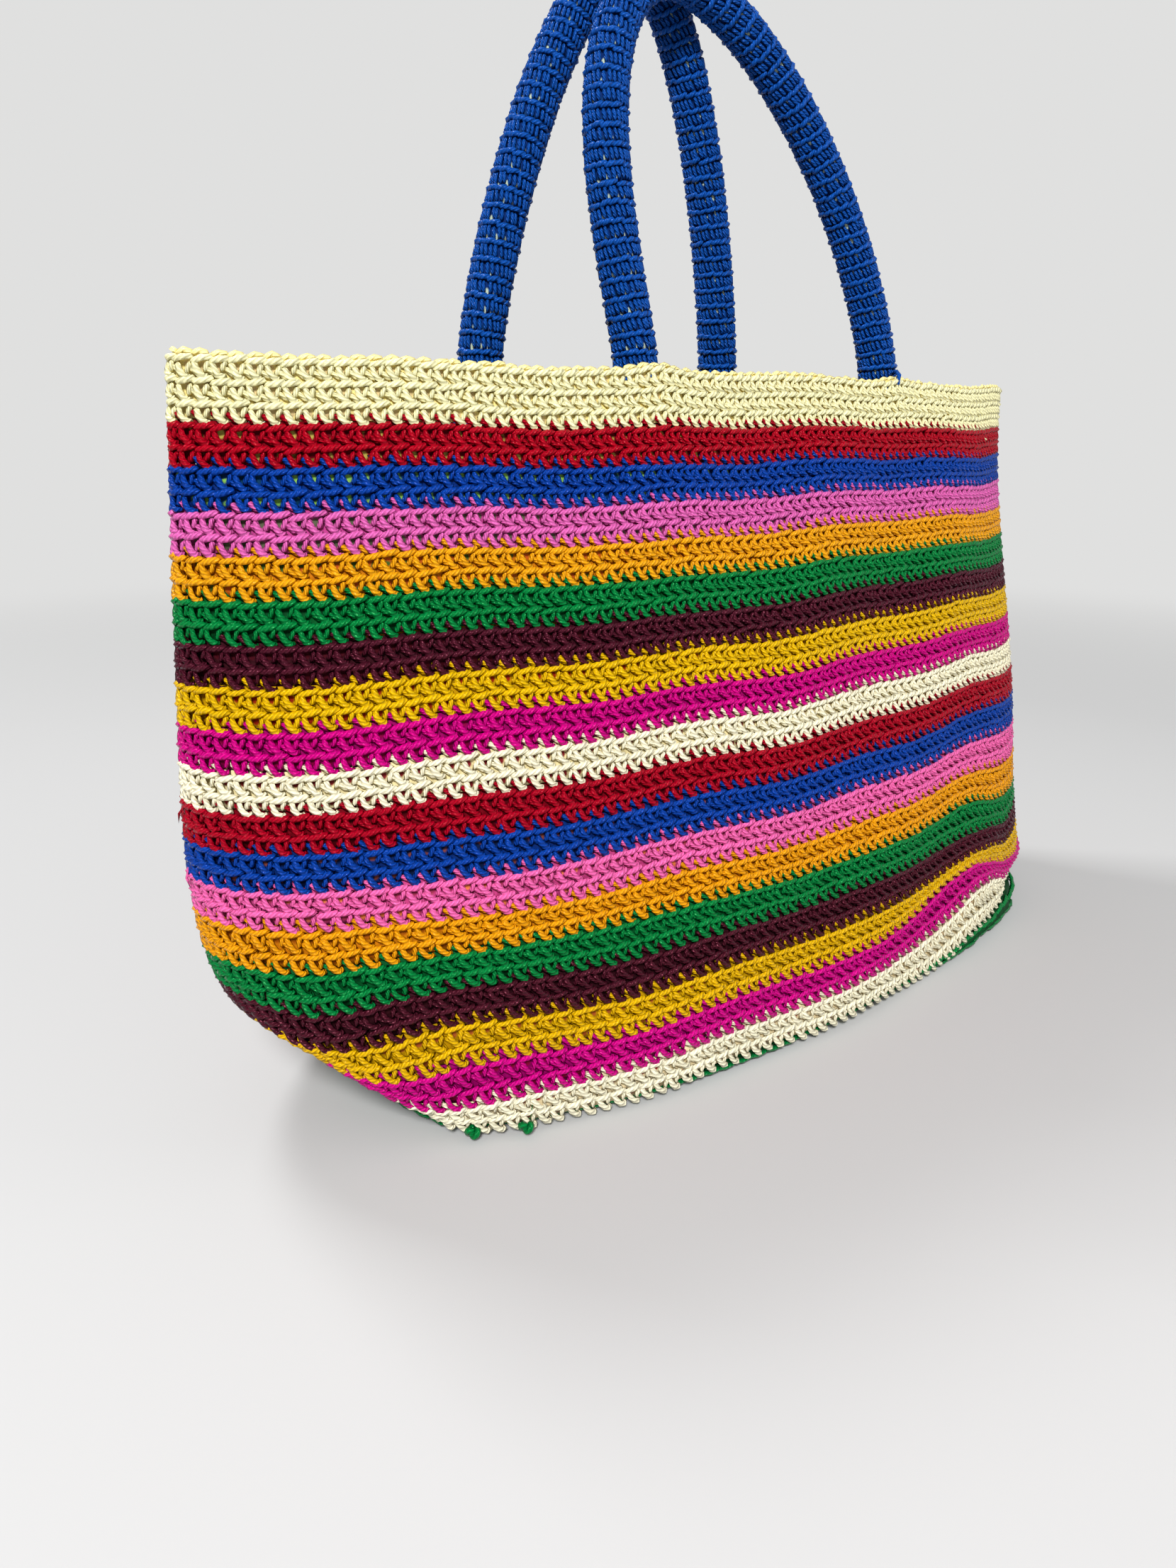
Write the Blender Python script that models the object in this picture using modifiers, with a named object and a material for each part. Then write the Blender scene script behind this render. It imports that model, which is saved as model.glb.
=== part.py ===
"""Crochet basket bag: a striped crocheted tote with an oval base and two tubular handles.

Frame: +Z up, X along the bag's length, Y through its depth, front facing -Y. The origin lies
on the ground under the middle of the base. All lengths are in metres, all angles in degrees.
"""
import math
from dataclasses import dataclass

import bmesh
import bpy
from mathutils import Vector

# Wall of the bag: rounds of crochet, worked upwards from the base
ROW_HEIGHT = 0.0074
RIM_ROWS = 3
BAND_ROWS = 2
WALL = 0.0046
RIDGE = 0.0012
SEAM_GAP = 0.0003

# Plan of the bag: an oval at the base that narrows to a pointed lens at the rim
BASE_HALF_DEPTH = 0.0927
RIM_HALF_DEPTH = 0.0394
DEPTH_FALL = 1.5
END_ROUNDING = 3.1
RIM_BELLY = 1.53
BASE_SHOULDER = 2.0
RIM_SHOULDER = 2.26

# The base: flat in the middle, with ends that curl up
BASE_THICKNESS = 0.0038
BASE_INSET = 0.0020
BASE_EDGE = 0.0030
LIFT_REACH = 0.0924
KEEL_SHARE = 0.60
SPINE_HALF_LENGTH = 0.120

# Handles: a crocheted sleeve over a hose, with its two ends sewn inside the rim
HANDLE_RADIUS = 0.0100
SLEEVE_WALL = 0.0026
CORE_CLEARANCE = 0.0006
FOOT_CLEARANCE = 0.0006
HANDLE_GAP = 0.0003
FOOT_STRAIGHT = 0.0040
SEWN_LENGTH = 0.0300
MEETING_Y = 0.0080
SKEW_POWER = 1.3
ARCH_POWER = 1.1
END_BEND = 1.04

# Knots where the base's green yarn was tied off, under the front left corner
KNOT_RADIUS = 0.0036
KNOT_XS = (-0.169, -0.151)

# Mesh density
SIDE_SEGMENTS = 16
TIP_CROWDING = 0.75
ARCH_SEGMENTS = 22
TUBE_RESOLUTION = 2
KNOT_SEGMENTS = 8

COLOURS = {
    "cream": (0.83, 0.78, 0.42),
    "red": (0.41, 0.004, 0.018),
    "blue": (0.004, 0.048, 0.35),
    "pink": (0.73, 0.098, 0.43),
    "orange": (0.84, 0.31, 0.008),
    "green": (0.002, 0.19, 0.040),
    "burgundy": (0.061, 0.008, 0.017),
    "yellow": (0.73, 0.50, 0.002),
    "magenta": (0.49, 0.001, 0.22),
    "hose": (0.62, 0.68, 0.58),
}
STRIPES = ("red", "blue", "pink", "orange", "green", "burgundy", "yellow", "magenta")
BANDS = ("cream",) + STRIPES + ("cream",) + STRIPES + ("cream",)

ROWS = RIM_ROWS + BAND_ROWS * (len(BANDS) - 1)
WALL_FOOT = BASE_THICKNESS + SEAM_GAP
WALL_HEIGHT = ROWS * ROW_HEIGHT
RIM_TOP = WALL_FOOT + WALL_HEIGHT


@dataclass
class End:
    """One end of the bag: its reach from the middle at three heights, and how it curls up."""

    base: float
    middle: float
    rim: float
    belly: float
    flat: float
    lift: float
    lift_power: float
    edge_share: float


LEFT = End(
    base=0.2057, middle=0.2518, rim=0.2496, belly=2.07,
    flat=0.1640, lift=0.0495, lift_power=3.2, edge_share=1.0,
)
RIGHT = End(
    base=0.2470, middle=0.2343, rim=0.2518, belly=3.20,
    flat=0.0580, lift=0.0250, lift_power=1.5, edge_share=0.70,
)


@dataclass
class Handle:
    """One arch: its side of the bag, where its feet stand, and the form of its curve."""

    name: str
    side: int
    left_foot: float
    right_foot: float
    apex: float
    rise: float
    fullness: float


HANDLES = (
    Handle("front", -1, left_foot=-0.062, right_foot=0.105, apex=-0.022, rise=0.166, fullness=2.3),
    Handle("back", 1, left_foot=-0.111, right_foot=0.034, apex=-0.030, rise=0.176, fullness=1.3),
)


def clear_scene():
    for obj in list(bpy.data.objects):
        bpy.data.objects.remove(obj, do_unlink=True)


def make_collection(name):
    collection = bpy.data.collections.new(name)
    bpy.context.scene.collection.children.link(collection)
    return collection


def yarn_material(colour_name, roughness=0.45):
    name = "yarn_" + colour_name
    material = bpy.data.materials.get(name)
    if material is None:
        material = bpy.data.materials.new(name)
        material.use_nodes = True
        shader = material.node_tree.nodes["Principled BSDF"]
        shader.inputs["Base Color"].default_value = (*COLOURS[colour_name], 1.0)
        shader.inputs["Roughness"].default_value = roughness
        shader.inputs["Metallic"].default_value = 0.0
    return material


def add_object(name, mesh, material, parent=None):
    obj = bpy.data.objects.new(name, mesh)
    mesh.materials.clear()
    mesh.materials.append(material)
    obj.parent = parent
    PARTS.objects.link(obj)
    return obj


# The form of the wall, as a function of v (0 at its foot, 1 at the rim)


def end_of(share):
    return LEFT if share < 0.0 else RIGHT


def half_length(v, share):
    """Reach of the wall from the middle, towards the end that the share points to."""
    end = end_of(share)
    low = (end.base - end.middle) * max(0.0, 1.0 - 2.0 * v) ** END_ROUNDING
    high = (end.rim - end.middle) * max(0.0, 2.0 * v - 1.0) ** 2
    return end.middle + low + high


def share_at(v, x):
    return x / half_length(v, x)


def half_depth(v):
    return BASE_HALF_DEPTH - (BASE_HALF_DEPTH - RIM_HALF_DEPTH) * v ** DEPTH_FALL


def plan_depth(v, share):
    """Depth of the outside face at a share of the half length, from -1 to 1."""
    end = end_of(share)
    belly = end.belly + (RIM_BELLY - end.belly) * v * v
    shoulder = BASE_SHOULDER + (RIM_SHOULDER - BASE_SHOULDER) * v
    return half_depth(v) * max(0.0, 1.0 - abs(share) ** shoulder) ** (1.0 / belly)


def end_lift(v, share):
    """How far the curled-up end raises a round at height v."""
    end = end_of(share)
    flat_share = end.flat / end.base
    reach = max(0.0, (abs(share) - flat_share) / (1.0 - flat_share))
    fade = max(0.0, 1.0 - v * WALL_HEIGHT / LIFT_REACH)
    return end.lift * reach ** end.lift_power * fade ** 2


def side_shares():
    """Shares of the half length along one side, closer together towards the tips."""
    shares = []
    for i in range(SIDE_SEGMENTS + 1):
        u = 2.0 * i / SIDE_SEGMENTS - 1.0
        crowded = math.sin(0.5 * math.pi * u)
        shares.append(TIP_CROWDING * crowded + (1.0 - TIP_CROWDING) * u)
    return shares


def round_shares():
    """Share and side of each point of one round: along the front, then back along the rear."""
    shares = side_shares()
    front = [(share, -1.0) for share in shares[:-1]]
    rear = [(share, 1.0) for share in reversed(shares[1:])]
    return front + rear


def plan_outline(v):
    outline = []
    for share, side in round_shares():
        outline.append(Vector((half_length(v, share) * share, side * plan_depth(v, share))))
    return outline


def face_depth(v, x):
    """Distance of the outside face from the middle plane at x, along the straight facets."""
    outline = plan_outline(v)
    rear = outline[SIDE_SEGMENTS:] + outline[:1]
    for right, left in zip(rear, rear[1:]):
        if left.x <= x <= right.x:
            return left.y + (right.y - left.y) * (x - left.x) / (right.x - left.x)
    return 0.0


def offset_outline(points, distance):
    """The outline moved outwards, each corner on the mitre of its two edges."""
    moved = []
    count = len(points)
    for i, point in enumerate(points):
        before = (point - points[i - 1]).normalized()
        after = (points[(i + 1) % count] - point).normalized()
        normal_before = Vector((before.y, -before.x))
        normal_after = Vector((after.y, -after.x))
        mitre = (normal_before + normal_after) / (1.0 + normal_before.dot(normal_after))
        moved.append(point + mitre * distance)
    return moved


def wall_ring(v, distance):
    """One round of points at height v, moved outwards by distance."""
    outline = offset_outline(plan_outline(v), distance)
    ring = []
    for (share, _), point in zip(round_shares(), outline):
        z = WALL_FOOT + WALL_HEIGHT * v + end_lift(v, share)
        ring.append(Vector((point.x, point.y, z)))
    return ring


def loft(rings, closed):
    """Skin a list of rings of equal length; closed joins the last ring to the first.

    The quads are split so that the two faces that meet at a seam between bands are split alike.
    """
    mesh = bmesh.new()
    rows = [[mesh.verts.new(point) for point in ring] for ring in rings]
    for low, high in zip(rows, rows[1:]):
        count = len(low)
        for i in range(count):
            j = (i + 1) % count
            mesh.faces.new((low[i], low[j], high[j]))
            mesh.faces.new((low[i], high[j], high[i]))
    if closed:
        low, high = rows[-1], rows[0]
        for i in range(len(low)):
            j = (i + 1) % len(low)
            mesh.faces.new((low[i], low[j], high[i]))
            mesh.faces.new((low[j], high[j], high[i]))
    return mesh, rows


def close_across(mesh, ring):
    """Fill a ring with strips that join its front side to its rear side."""
    mesh.faces.new((ring[0], ring[1], ring[-1]))
    for i in range(1, SIDE_SEGMENTS - 1):
        mesh.faces.new((ring[i], ring[i + 1], ring[-i - 1], ring[-i]))
    middle = SIDE_SEGMENTS
    mesh.faces.new((ring[middle - 1], ring[middle], ring[middle + 1]))


def finish_mesh(name, mesh, sharp_angle=50.0):
    bmesh.ops.recalc_face_normals(mesh, faces=mesh.faces[:])
    data = bpy.data.meshes.new(name)
    mesh.to_mesh(data)
    mesh.free()
    data.shade_smooth()
    data.set_sharp_from_angle(angle=math.radians(sharp_angle))
    return data


# Bands of one colour: each is the run of one yarn, two rows high (three at the rim)


def band_rows():
    """Number, colour, lowest row and highest row of each band, from the rim down."""
    top = ROWS
    for number, colour in enumerate(BANDS, start=1):
        height = RIM_ROWS if number == 1 else BAND_ROWS
        yield number, colour, top - height, top
        top -= height


def band_rings(low, high):
    trim = 0.5 * SEAM_GAP / WALL_HEIGHT
    v_low = low / ROWS + trim
    v_high = high / ROWS - trim
    rings = [wall_ring(v_low, 0.0)]
    for row in range(low, high):
        rings.append(wall_ring((row + 0.5) / ROWS, RIDGE))
        if row + 1 < high:
            rings.append(wall_ring((row + 1) / ROWS, 0.0))
    rings.append(wall_ring(v_high, 0.0))
    rings.append(wall_ring(v_high, -WALL))
    rings.append(wall_ring(v_low, -WALL))
    return rings


def make_bands():
    for number, colour, low, high in band_rows():
        name = f"band_{number:02d}_{colour}"
        mesh, _ = loft(band_rings(low, high), closed=True)
        add_object(name, finish_mesh(name, mesh), yarn_material(colour))


# The base: an oval plate of crochet whose rounds run round a straight spine


def base_ring(reach, inset, height):
    """One round of the base: reach 1 is its edge and 0 its spine.

    Height 0 is the underside, which curls up less than the edge that carries the wall, and
    height 1 the upper side.
    """
    edge = offset_outline(plan_outline(0.0), -BASE_INSET - inset)
    ring = []
    for (share, _), point in zip(round_shares(), edge):
        spine_x = SPINE_HALF_LENGTH * share
        x = spine_x + (point.x - spine_x) * reach
        y = point.y * reach
        lift = end_lift(0.0, share if reach == 1.0 else share_at(0.0, x))
        keel = KEEL_SHARE + (end_of(share).edge_share - KEEL_SHARE) * reach * reach
        underside = lift * keel
        upper_side = lift * (keel if reach < 1.0 else 1.0) + BASE_THICKNESS
        ring.append(Vector((x, y, underside + (upper_side - underside) * height)))
    return ring


def make_base():
    inner, middle = 0.15, 0.55
    rings = [
        base_ring(inner, 0.0, 0.0),
        base_ring(middle, 0.0, 0.0),
        base_ring(1.0, BASE_EDGE, 0.0),
        base_ring(1.0, 0.0, 0.5),
        base_ring(1.0, 0.0, 1.0),
        base_ring(middle, 0.0, 1.0),
        base_ring(inner, 0.0, 1.0),
    ]
    mesh, rows = loft(rings, closed=False)
    close_across(mesh, rows[0])
    close_across(mesh, rows[-1])
    add_object("base_green", finish_mesh("base_green", mesh), yarn_material("green"))


# Handles: where they stand, how they arch, and the line that they swing about


def foot_y(x):
    """Distance of a foot's centre from the middle plane, just inside the rim."""
    return face_depth(1.0, x) - WALL - FOOT_CLEARANCE - HANDLE_RADIUS


def pivot_point(handle):
    """Middle of the swing line: level with the rim, as far from the tube as from the outer face."""
    halves = []
    for x in (handle.left_foot, handle.right_foot):
        tube_side = foot_y(x) + HANDLE_RADIUS
        rim_side = face_depth(1.0, x) + RIDGE
        halves.append(0.5 * (tube_side + rim_side))
    return Vector((0.0, handle.side * max(halves), RIM_TOP))


def arch_points(handle):
    """Centre line of the arch, from just over the rim at one foot to the same at the other."""
    foot_middle = 0.5 * (handle.left_foot + handle.right_foot)
    half_span = 0.5 * (handle.right_foot - handle.left_foot)
    apex_y = MEETING_Y + handle.side * (HANDLE_RADIUS + HANDLE_GAP)
    bend = handle.rise - FOOT_STRAIGHT
    curve = []
    for i in range(ARCH_SEGMENTS + 1):
        turn = math.pi * i / ARCH_SEGMENTS
        climb = math.sin(turn) ** (2.0 / handle.fullness) if 0 < i < ARCH_SEGMENTS else 0.0
        swing = math.copysign(abs(math.cos(turn)) ** ARCH_POWER, -math.cos(turn))
        middle = foot_middle + (handle.apex - foot_middle) * climb ** SKEW_POWER
        foot = handle.left_foot if 2 * i < ARCH_SEGMENTS else handle.right_foot
        start_y = handle.side * foot_y(foot)
        y = start_y + (apex_y - start_y) * climb
        curve.append(Vector((middle + half_span * swing, y, RIM_TOP + FOOT_STRAIGHT + bend * climb)))
    first = Vector((curve[0].x, curve[0].y, RIM_TOP + HANDLE_GAP))
    last = Vector((curve[-1].x, curve[-1].y, RIM_TOP + HANDLE_GAP))
    return [first] + curve + [last]


def sewn_points(handle, x):
    """Centre line of a sewn end: down from the rim, along the inside of the leaning wall."""
    points = []
    for depth in (0.0, FOOT_STRAIGHT, SEWN_LENGTH):
        v = 1.0 - max(0.0, depth - FOOT_STRAIGHT) / WALL_HEIGHT
        inside = face_depth(v, x) - WALL - FOOT_CLEARANCE - HANDLE_RADIUS
        bent = inside - HANDLE_RADIUS * (END_BEND - 1.0) * (1.0 if v < 1.0 else 0.0)
        points.append(Vector((x, handle.side * bent, RIM_TOP - depth)))
    return points


def tube_curve(name, points, radius, capped):
    curve = bpy.data.curves.new(name, "CURVE")
    curve.dimensions = "3D"
    curve.bevel_depth = radius
    curve.bevel_resolution = TUBE_RESOLUTION
    curve.use_fill_caps = capped
    spline = curve.splines.new("POLY")
    spline.points.add(len(points) - 1)
    for spline_point, point in zip(spline.points, points):
        spline_point.co = (*point, 1.0)
    return curve


def make_core(handle, points, pivot):
    radius = HANDLE_RADIUS - SLEEVE_WALL - CORE_CLEARANCE
    name = handle.name + "_handle_core"
    add_object(name, tube_curve(name, points, radius, True), yarn_material("hose", 0.5), pivot)


def make_sleeve(handle, points, pivot):
    """The crocheted sleeve: an open tube, thickened inwards."""
    name = handle.name + "_handle_sleeve"
    guide = bpy.data.objects.new(name + "_guide", tube_curve(name, points, HANDLE_RADIUS, False))
    PARTS.objects.link(guide)
    depsgraph = bpy.context.evaluated_depsgraph_get()
    mesh = bpy.data.meshes.new_from_object(guide.evaluated_get(depsgraph))
    bpy.data.objects.remove(guide, do_unlink=True)
    mesh.name = name
    mesh.shade_smooth()
    sleeve = add_object(name, mesh, yarn_material("blue"), pivot)
    thickness = sleeve.modifiers.new("thickness", "SOLIDIFY")
    thickness.thickness = SLEEVE_WALL
    thickness.offset = -1.0
    thickness.use_even_offset = True


def make_handle(handle):
    pivot = bpy.data.objects.new(handle.name + "_handle_pivot", None)
    pivot.location = pivot_point(handle)
    PARTS.objects.link(pivot)
    points = [point - pivot.location for point in arch_points(handle)]
    make_sleeve(handle, points, pivot)
    make_core(handle, points, pivot)
    for end, x in (("left", handle.left_foot), ("right", handle.right_foot)):
        name = f"{handle.name}_handle_{end}_end"
        curve = tube_curve(name, sewn_points(handle, x), HANDLE_RADIUS, True)
        add_object(name, curve, yarn_material("blue"))


def make_knots():
    for number, x in enumerate(KNOT_XS, start=1):
        name = f"yarn_knot_{number}"
        mesh = bmesh.new()
        bmesh.ops.create_uvsphere(
            mesh, u_segments=KNOT_SEGMENTS, v_segments=KNOT_SEGMENTS // 2 + 1, radius=KNOT_RADIUS
        )
        knot = add_object(name, finish_mesh(name, mesh), yarn_material("green"))
        lift = end_lift(0.0, share_at(0.0, x))
        knot.location = (x, -face_depth(0.0, x) - RIDGE - KNOT_RADIUS, lift + KNOT_RADIUS)


clear_scene()
PARTS = make_collection("crochet_basket_bag")
make_base()
make_bands()
for bag_handle in HANDLES:
    make_handle(bag_handle)
make_knots()
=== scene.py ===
"""Looks of the crochet basket bag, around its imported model. Metres, +Z up, front facing -Y."""
import math

import bpy
import numpy as np
from mathutils import Matrix, Vector


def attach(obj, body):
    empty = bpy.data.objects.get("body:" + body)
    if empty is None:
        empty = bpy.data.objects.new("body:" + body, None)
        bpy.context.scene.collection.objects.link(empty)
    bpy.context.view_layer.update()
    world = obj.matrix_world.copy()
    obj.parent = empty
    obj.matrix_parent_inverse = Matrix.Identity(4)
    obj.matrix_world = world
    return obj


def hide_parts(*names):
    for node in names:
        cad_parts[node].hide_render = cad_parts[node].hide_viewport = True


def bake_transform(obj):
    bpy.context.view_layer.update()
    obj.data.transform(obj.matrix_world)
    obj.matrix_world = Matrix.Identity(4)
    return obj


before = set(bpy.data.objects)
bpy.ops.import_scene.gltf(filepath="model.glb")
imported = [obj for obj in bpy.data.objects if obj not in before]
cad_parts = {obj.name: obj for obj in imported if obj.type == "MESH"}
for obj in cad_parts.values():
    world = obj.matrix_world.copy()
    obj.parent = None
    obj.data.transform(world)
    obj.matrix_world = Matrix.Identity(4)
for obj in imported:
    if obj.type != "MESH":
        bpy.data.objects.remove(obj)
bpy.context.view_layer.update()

# The view: the bag is seen from its front left, a little from above, by a wide lens that
# stands close to it. The picture is 1659 by 2212 pixels, and the view was fitted to the rim,
# the foot and the rows in it.
PICTURE_HEIGHT = 2212
FOCAL_PIXELS = 1600.1
AXIS_PIXEL_ROW = 894.5
CAMERA_PLACE = Vector((-0.3841, -0.3884, 0.2698))
CAMERA_AZIMUTH = math.radians(39.16)
CAMERA_PITCH = math.radians(10.46)
CAMERA_ROLL = math.radians(0.38)
SENSOR = 36.0

forward = Vector((
    math.sin(CAMERA_AZIMUTH) * math.cos(CAMERA_PITCH),
    math.cos(CAMERA_AZIMUTH) * math.cos(CAMERA_PITCH),
    -math.sin(CAMERA_PITCH),
))
level = Vector((math.cos(CAMERA_AZIMUTH), -math.sin(CAMERA_AZIMUTH), 0.0))
upright = level.cross(forward)
right = level * math.cos(CAMERA_ROLL) + upright * math.sin(CAMERA_ROLL)
top = right.cross(forward)
turned = Matrix((right, top, -forward)).transposed().to_4x4()
camera = bpy.data.objects.new("camera", bpy.data.cameras.new("camera"))
camera.matrix_world = Matrix.Translation(CAMERA_PLACE) @ turned
camera.data.sensor_width = SENSOR
camera.data.lens = SENSOR * FOCAL_PIXELS / PICTURE_HEIGHT
camera.data.shift_y = (AXIS_PIXEL_ROW - PICTURE_HEIGHT / 2) / PICTURE_HEIGHT
bpy.context.scene.collection.objects.link(camera)
bpy.context.scene.camera = camera

# Wall: thirty-nine rounds of crochet in shiny twisted cord, worked upwards from the base in
# nineteen bands of colour. Every stitch has a leaning vee, the front loop that lies over its
# top as one turn of a rope, and a back loop that shows between the vees of the next round.
MM = 0.001
ROW_HEIGHT = 0.0074
ROW_COUNT = 39
RIM_ROWS = 3
BAND_ROWS = 2
STITCHES = 172
WALL = 0.0046
WALL_FOOT = 0.0041
WALL_HEIGHT = ROW_COUNT * ROW_HEIGHT
RIM_TOP = WALL_FOOT + WALL_HEIGHT

# Its outline, as in the model: how deep it is from front to back, and the form of each end,
# with its reach at the foot, the middle and the rim, and the way its foot curls up
BASE_HALF_DEPTH, RIM_HALF_DEPTH = 0.0927, 0.0394
DEPTH_FALL = 1.5
END_ROUNDING = 3.1
RIM_BELLY = 1.53
BASE_SHOULDER, RIM_SHOULDER = 2.0, 2.26
LIFT_REACH = 0.0924
LEFT_END = dict(
    base=0.2057, middle=0.2518, rim=0.2496, belly=2.07, flat=0.1640, lift=0.0495, power=3.2
)
RIGHT_END = dict(
    base=0.2470, middle=0.2343, rim=0.2518, belly=3.20, flat=0.0580, lift=0.0250, power=1.5
)
OUTLINE_POINTS = 1201
STITCH_POINTS = 6

# How the soft wall lies. It isn't quite even: a wave has its turns for each metre of x, y and
# z, and its start. Its lower corners fold in under it, and the front one bulges at the left.
WAVE_OUT, WAVE_UP = 1.0 * MM, 0.6 * MM
WAVES_OUT = ((31.0, 0.0, 14.0, 0.0), (57.0, 0.0, -33.0, 1.0))
WAVES_UP = ((24.0, 0.0, 19.0, 2.0), (63.0, 9.0, 0.0, 0.0))
STILL_DEPTH = 0.02
FOLD_INWARD = 0.016
FOLD_ROWS = 3.0
FOLD_POWER = 1.5
FOLD_AIM = (1.0, 2.0)
WALL_FOLD = (0.165, 0.215)
LEFT_FOLD, LEFT_FOLD_SHARE = (0.175, 0.190), 0.4
CORNER_X, CORNER_WIDTH, CORNER_BULGE = -0.160, 0.022, 0.0042

# It sags at both ends: millimetres up from its even place, with a line for each row of
# SAG_ROWS and a column for each place of SAG_XS, evened over a ninetieth of the round
SAG_EVENED = 90
SAG_ROWS = (0, 2, 4, 6, 8, 10, 12, 15, 20)
SAG_XS = (
    -0.222, -0.205, -0.195, -0.185, -0.175, -0.155, -0.11, 0.04, 0.066, 0.096, 0.129, 0.156, 0.176, 0.21
)
SAG = np.array((
    (0.0, 0.0, 0.0, 0.0, -0.5, -0.5, 0.0, 0.0, -1.0, -2.0, -1.0, -4.5, -2.5, 0.0),
    (-1.0, -1.0, -3.0, -4.6, -3.3, -1.0, 0.0, 0.0, 2.5, 5.0, 10.0, 5.3, -5.3, -11.0),
    (-3.5, -4.5, -2.0, 0.0, 2.6, 2.0, 0.0, 0.0, 4.0, 11.0, 10.0, 0.5, -6.5, -16.0),
    (-7.0, -1.0, 2.6, 5.6, 5.6, 3.3, 0.0, 0.0, 0.0, 0.0, 0.0, -4.0, -9.3, -11.0),
    (-3.0, 2.0, 4.0, 5.0, 5.0, 3.6, 1.0, 0.0, 0.0, 0.0, -3.0, -6.0, -10.5, -9.0),
    (0.0, 3.0, 3.5, 4.0, 3.5, 2.5, 1.0, 0.0, 0.0, 0.0, 0.0, -6.0, -7.8, -8.5),
    (3.0, 3.0, 2.5, 2.0, 1.5, 0.0, 0.0, 0.0, 0.0, 0.0, 0.0, -3.0, -4.0, -3.0),
    (2.0, 2.0, 1.5, 1.5, 1.0, 0.0, 0.0, 0.0, 0.0, 0.0, 0.0, 0.0, 0.0, 0.0),
    (0.0, 0.0, 0.0, 0.0, 0.0, 0.0, 0.0, 0.0, 0.0, 0.0, 0.0, 0.0, 0.0, 0.0),
))
# The feet of the front handle lift the rim and draw it forward a little
RIM_LIFTS = (-0.062, 0.100)
RIM_LIFT = 0.0020
RIM_LIFT_WAY = (0.0, -0.5, 1.0)
RIM_LIFT_REACH = 0.012
RIM_LIFT_DEPTH = 0.030

# The cord, how evenly it is worked, and the body of the fabric behind its strands
CORD_RADIUS = 1.2 * MM
RIGHT_LEG_RADIUS = 0.92 * CORD_RADIUS
FRONT_LOOP_RADIUS = 1.04 * CORD_RADIUS
CORD_UNEVEN = 0.06
END_TAPER = 0.85
STITCH_LEAN = -0.05
LOOSENESS = 0.05
UPWARD_LOOSENESS = 0.6
BENDING = 0.4
FABRIC_INSET = 2.0 * MM
LINING_COLUMNS = 64
LINING_DEPTH = -0.8 * MM
LINING_SWELL = 0.3 * MM
LINING_RIDGE = 0.0006
LINING_GROOVE = 0.04

# Paths of the strands of one stitch: stitches along the row, rows up, millimetres outwards
LEFT_LEG = np.array((
    (-0.44, 0.70, -1.2), (-0.41, 0.45, 0.6), (-0.30, 0.19, 0.9), (-0.11, -0.03, 1.0),
    (0.11, -0.13, 0.9), (0.26, -0.10, 0.1), (0.27, 0.04, -1.2),
))
RIGHT_LEG = np.array((
    (0.02, -0.04, -0.8), (0.13, 0.19, 0.6), (0.25, 0.47, 0.9), (0.29, 0.74, -0.9),
))
FRONT_LOOP = np.array((
    (-0.88, 0.54, -0.9), (-0.46, 0.61, 0.9), (0.00, 0.70, 1.4), (0.42, 0.765, 1.0),
    (0.76, 0.68, -0.9),
))
BACK_LOOP = np.array((
    (-0.90, 1.42, -0.9), (-0.68, 1.25, 0.25), (-0.32, 1.01, 0.35), (0.00, 0.78, -0.8),
))
RIM_LOOP = np.array((
    (-0.80, 0.78, -1.4), (-0.50, 0.93, -1.0), (-0.12, 1.02, -0.8), (0.26, 0.97, -0.9),
    (0.54, 0.78, -1.5),
))

chance = np.random.default_rng(19)


def unit(vectors):
    return vectors / np.maximum(np.linalg.norm(vectors, axis=-1, keepdims=True), 1e-12)


def surface_normals(grid):
    round_way = np.roll(grid, -1, axis=1) - np.roll(grid, 1, axis=1)
    return unit(np.cross(unit(round_way), unit(np.gradient(grid, axis=0))))


class Fabric:
    """A crocheted surface: a grid of points, round by round, that stitches are placed on."""

    def __init__(self, grid, first_row, row_step, stitches):
        self.grid = grid
        self.first_row = first_row
        self.row_step = row_step
        self.stitches = stitches
        self.outward = surface_normals(grid)

    def place(self, stitch, row, depth):
        """Points and outward normals at stitch numbers, row numbers and depths."""
        columns = self.grid.shape[1]
        across = (stitch / self.stitches) % 1.0 * columns
        upward = (row - self.first_row) / self.row_step
        # A little short of the last line of points, so that each place has a line above it
        upward = np.clip(upward, 0.0, self.grid.shape[0] - 1.0001)
        column = np.floor(across).astype(int)
        line = np.floor(upward).astype(int)
        a = (across - column)[..., None]
        b = (upward - line)[..., None]
        column = column % columns
        following = (column + 1) % columns
        point, normal = (
            (values[line, column] * (1 - a) + values[line, following] * a) * (1 - b)
            + (values[line + 1, column] * (1 - a) + values[line + 1, following] * a) * b
            for values in (self.grid, self.outward)
        )
        normal = unit(normal)
        return point + normal * depth[..., None], normal


def of_end(name, share):
    return np.where(share < 0.0, LEFT_END[name], RIGHT_END[name])


def lengths_along(path):
    """Distance along a path at each of its points."""
    return np.concatenate(((0.0,), np.cumsum(np.linalg.norm(np.diff(path, axis=0), axis=1))))


def at_lengths(path, lengths):
    """Points of a path at distances along it."""
    known = lengths_along(path)
    return np.stack([np.interp(lengths, known, path[:, axis]) for axis in range(3)], axis=1)


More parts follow.
